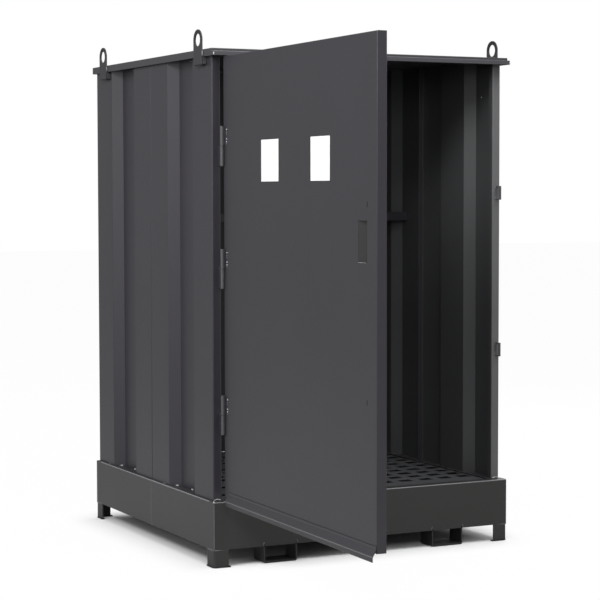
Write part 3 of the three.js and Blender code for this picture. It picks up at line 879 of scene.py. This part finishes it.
def door_grip():
    """Finger grip, with painted shade on its inner sides and a painted highlight along its foot.
    """
    grip = dressed("door_grip", "door_paint", fold=1.2)
    # Painted shade inside the recess
    paint_where(grip, dark_coat, lambda normal, at: abs(normal.z) < 0.7)
    low = min(vert.co.z for vert in grip.data.vertices) / MM + GRIP_HIGHLIGHT_RISE
    # Painted highlight: a light bead along the foot of the recess
    highlight_line = [door_spot(x, TACK_Y, low) for x in GRIP_SPAN]
    bead("door_grip_highlight", highlight_line, 2.0, "door", "door_paint")


def door_hinges():
    """Door halves of the hinges, with their weld tacks."""
    leaf = spot(0, HINGE_Y - LEAF_REACH, 0).y
    for level, z in HINGE_LEVELS:
        half = dressed("hinge_door_" + level, "hardware_paint", fold=0.8, rim=0.6)
        paint_where(half, finishes["door_paint"], lambda normal, at: at.y < leaf)
        for i, (up, radius, bright) in enumerate(DOOR_TACKS):
            ends = upright(TACK_X, TACK_Y, z + up - TACK_HALF, z + up + TACK_HALF)
            bead(f"hinge_door_tack_{level}_{i}", [door_spot(*point) for point in ends], radius,
                 "door", "hardware_paint", tack_painted_glint if bright else None)


def door():
    """Leaf, skirt, grip, stiffeners, blank placards, locks and hinges."""
    dressed("door_skin", "door_paint", fold=3.0, shortest=SKIN_SHORTEST)
    door_skirt()
    door_grip()
    for i in (1, 2):
        dressed(f"door_stiffener_{i}", "door_paint")
        dressed(f"placard_{i}", "placard_white", fold=0.3, rim=0.2)
    for level in ("lower", "upper"):
        case = dressed("lock_case_" + level, "door_paint", fold=1.0)
        # Painted shade: the lock case's face behind the keyhole is dark
        paint_where(case, dark_coat, lambda normal, at: normal.x < -0.7)
        dressed("lock_bolt_" + level, "bolt_steel", fold=1.0, rim=0.8)
    door_hinges()


# ---------------------------------------------------------------- camera, light and floor
PHOTO_SIZE = 600
FOCAL_PIXELS = 1888.5
SENSOR = 36.0
CLIP_END = 100.0
CAMERA_AT = (-3063.6, -6967.7, 1530.3)
CAMERA_TURN = math.radians(26.375)
CAMERA_TILT = math.radians(-3.289)
CAMERA_ROLL = math.radians(-0.096)


def camera():
    """The photo's camera, from the fit to its edges and corners."""
    data = bpy.data.cameras.new("photo_camera")
    data.sensor_width = SENSOR
    data.lens = FOCAL_PIXELS / PHOTO_SIZE * SENSOR
    data.clip_end = CLIP_END
    ahead = Vector((math.sin(CAMERA_TURN) * math.cos(CAMERA_TILT),
                    math.cos(CAMERA_TURN) * math.cos(CAMERA_TILT),
                    math.sin(CAMERA_TILT)))
    level_right = ahead.cross(Vector((0, 0, 1))).normalized()
    level_up = level_right.cross(ahead)
    c, s = math.cos(CAMERA_ROLL), math.sin(CAMERA_ROLL)
    right = c * level_right + s * level_up
    up = -s * level_right + c * level_up
    turn = Matrix((right, up, -ahead)).transposed().to_4x4()
    view = bpy.data.objects.new("photo_camera", data)
    bpy.context.scene.collection.objects.link(view)
    view.matrix_world = Matrix.Translation(spot(*CAMERA_AT)) @ turn
    bpy.context.scene.camera = view


def softbox(name, at, aim, width, height, level):
    """Area lamp; at its aim, a surface that faces it shows this share of its own colour."""
    place, target = Vector(at), Vector(aim)
    data = bpy.data.lights.new(name, "AREA")
    data.shape = "RECTANGLE"
    data.size = width
    data.size_y = height
    data.energy = level * (math.pi * (place - target).length) ** 2
    lamp = bpy.data.objects.new(name, data)
    lamp.location = place
    lamp.rotation_euler = (target - place).to_track_quat("-Z", "Y").to_euler()
    bpy.context.scene.collection.objects.link(lamp)


AMBIENT = 0.36
GLOSSY_AMBIENT = 0.38


def studio():
    """Soft lamps, placed in metres, and a white room that lights less than it shows."""
    softbox("left_low", (-4.6, 0.3, 1.8), (0.0, 0.3, 1.1), 4.0, 2.2, 0.17)
    softbox("left_high", (-3.4, 0.3, 4.2), (0.0, 0.3, 1.1), 2.4, 2.4, 0.2)
    softbox("over_door", (-4.5, -3.2, 4.8), (1.3, 0.3, 1.5), 2.4, 1.6, 0.42)
    softbox("past_door", (-1.5, -4.8, 2.7), (1.4, 0.3, 1.3), 1.2, 1.2, 0.15)
    softbox("front_high", (0.6, -4.4, 4.2), (0.6, 0.0, 1.1), 1.4, 1.6, 0.1)
    softbox("front_top", (0.8, -2.4, 5.6), (0.7, 0.0, 1.2), 5.0, 2.2, 0.85)
    softbox("top", (1.2, 0.4, 6.2), (0.7, 0.3, 1.5), 5.0, 4.0, 0.6)
    softbox("back_right", (5.0, 4.0, 3.2), (0.7, 0.7, 1.1), 3.4, 2.6, 0.3)

    world = bpy.data.worlds.new("white_room")
    bpy.context.scene.world = world
    world.use_nodes = True
    tree = world.node_tree
    background = tree.nodes["Background"]
    background.inputs["Color"].default_value = (1, 1, 1, 1)
    path = tree.nodes.new("ShaderNodeLightPath")
    seen = tree.nodes.new("ShaderNodeMath")
    seen.operation = "MAXIMUM"
    tree.links.new(path.outputs["Is Camera Ray"], seen.inputs[0])
    tree.links.new(path.outputs["Is Transmission Ray"], seen.inputs[1])
    mirrored = tree.nodes.new("ShaderNodeMapRange")
    mirrored.inputs["To Min"].default_value = AMBIENT
    mirrored.inputs["To Max"].default_value = GLOSSY_AMBIENT
    tree.links.new(path.outputs["Is Glossy Ray"], mirrored.inputs["Value"])
    strength = tree.nodes.new("ShaderNodeMath")
    strength.operation = "MAXIMUM"
    tree.links.new(mirrored.outputs["Result"], strength.inputs[0])
    tree.links.new(seen.outputs[0], strength.inputs[1])
    tree.links.new(strength.outputs[0], background.inputs["Strength"])


FLOOR_HALF, FLOOR_DROP = 40.0, 0.0005
FLOOR_BOUNCE = 0.3
FLOOR_SEEN = 0.8
FLOOR_MIRRORED = 0.3
GLOW = 0.97
GLOW_FROM, GLOW_TO = -0.07, 0.19


def floor():
    """Pale floor that takes the cabinet's shadow close to it and is plain white further out."""
    bm = bmesh.new()
    bmesh.ops.create_grid(bm, x_segments=8, y_segments=8, size=FLOOR_HALF)
    piece = new_piece("floor", bm)
    piece.location.z = -FLOOR_DROP
    n = Nodes("pale_floor")
    path = n.add("ShaderNodeLightPath")
    seen = n.mixed(path.outputs["Is Camera Ray"], [FLOOR_BOUNCE] * 3, [FLOOR_SEEN] * 3)
    n.link(seen, n.shader.inputs["Base Color"])
    n.shader.inputs["Roughness"].default_value = 0.9
    n.shader.inputs["Specular IOR Level"].default_value = 0.0

    # How far a point lies outside the base's outline, as a share of the glow's reach
    centre = spot(WIDTH / 2, DEPTH / 2, 0)
    edge = (WIDTH / 2 * MM + GLOW_FROM, DEPTH / 2 * MM + GLOW_FROM, 0.0)
    shifted = n.computed(VECTOR, "SUBTRACT", n.coords, centre)[0]
    folded = n.computed(VECTOR, "ABSOLUTE", shifted)[0]
    beyond = n.computed(VECTOR, "SUBTRACT", folded, edge)[0]
    outside = n.computed(VECTOR, "MAXIMUM", beyond, (0.0, 0.0, 0.0))[0]
    away = n.computed(VECTOR, "LENGTH", outside)["Value"]
    share = n.add("ShaderNodeMapRange", interpolation_type="SMOOTHSTEP")
    share.inputs["From Max"].default_value = GLOW_TO - GLOW_FROM
    n.link(away, share.inputs["Value"])

    # The glow shows to the camera, and a part of it in reflections
    mirrored = n.computed(SCALAR, "MULTIPLY", path.outputs["Is Glossy Ray"], FLOOR_MIRRORED)[0]
    shown = n.computed(SCALAR, "MAXIMUM", path.outputs["Is Camera Ray"], mirrored)[0]
    mask = n.computed(SCALAR, "MULTIPLY", share.outputs["Result"], shown)[0]
    reach = n.computed(SCALAR, "MULTIPLY", mask, GLOW)[0]
    glow = n.add("ShaderNodeEmission")
    blend = n.add("ShaderNodeMixShader")
    n.link(reach, blend.inputs[0])
    n.link(n.shader.outputs[0], blend.inputs[1])
    n.link(glow.outputs[0], blend.inputs[2])
    n.link(blend.outputs[0], n.tree.nodes["Material Output"].inputs["Surface"])
    piece.data.materials.append(n.material)


bpy.context.scene.view_settings.view_transform = "Standard"
camera()
studio()
floor()
sump_base()
grates()
walls()
roof()
frame_hardware()
door()
